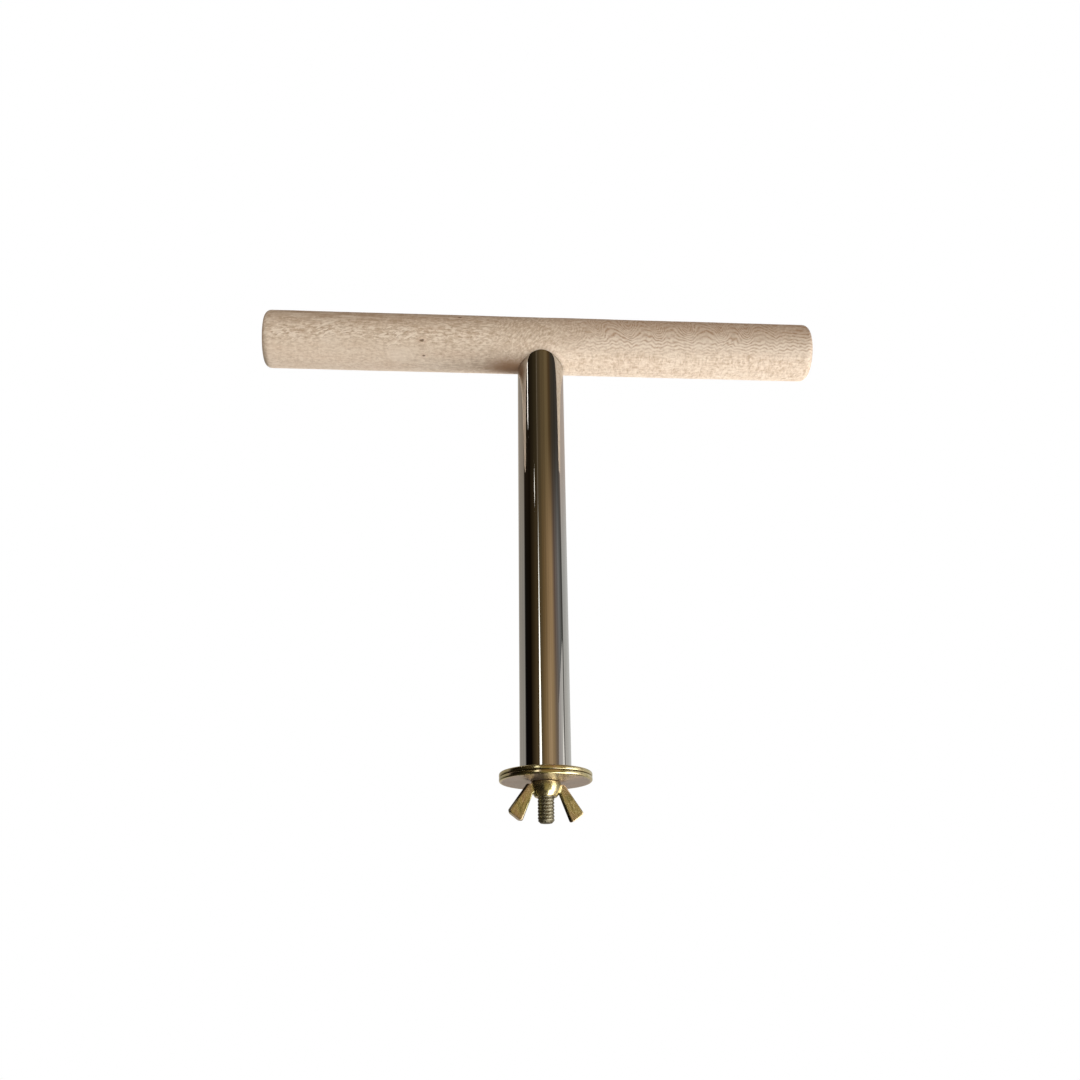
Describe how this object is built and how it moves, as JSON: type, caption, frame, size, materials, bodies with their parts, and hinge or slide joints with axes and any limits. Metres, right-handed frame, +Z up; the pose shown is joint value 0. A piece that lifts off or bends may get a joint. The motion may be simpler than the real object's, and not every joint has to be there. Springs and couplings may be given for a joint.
{
  "type": "bird t-stand",
  "caption": "Cage-mounted bird T-stand: round wooden perch across the top of a polished steel post, with a threaded stud, wide washers and a wing nut that clamp it to a cage.",
  "frame": {"origin": "on the post's axis, in the clamp plane between the two washers", "axes": "+Z up along the post to the perch, X along the perch dowel, Y across it"},
  "size_m": [0.242, 0.036, 0.2221],
  "materials": {
    "wood": "bare sanded hardwood",
    "brass": "turned",
    "polished_steel": "mirror polished",
    "plain_steel": "turned",
    "plated_steel": "zinc plated",
    "yellow_zinc": "yellow chromate zinc plate"
  },
  "bodies": {
    "stand": {"perch_dowel": "wood", "threaded_insert": "brass", "post_tube": "polished_steel", "tube_plug": "plain_steel", "tie_rod": "plated_steel", "lock_nut": "plated_steel", "upper_washer": "yellow_zinc"},
    "lower_washer": {"lower_washer": "yellow_zinc"},
    "wing_nut": {"wing_nut": "yellow_zinc"}
  },
  "joints": [
    {"name": "washer_slide", "type": "slide", "parent": "stand", "child": "lower_washer", "axis": [0, 0, -1], "range_m": [0, 0.0089]},
    {"name": "wing_nut_spin", "type": "hinge", "parent": "lower_washer", "child": "wing_nut", "pos_m": [0, 0, 0], "axis": [0, 0, -1], "range_deg": [0, 2520]}
  ],
  "couplings": [
    {"joint": "washer_slide", "follows": "wing_nut_spin", "m_per_rad": 0.00020213}
  ]
}
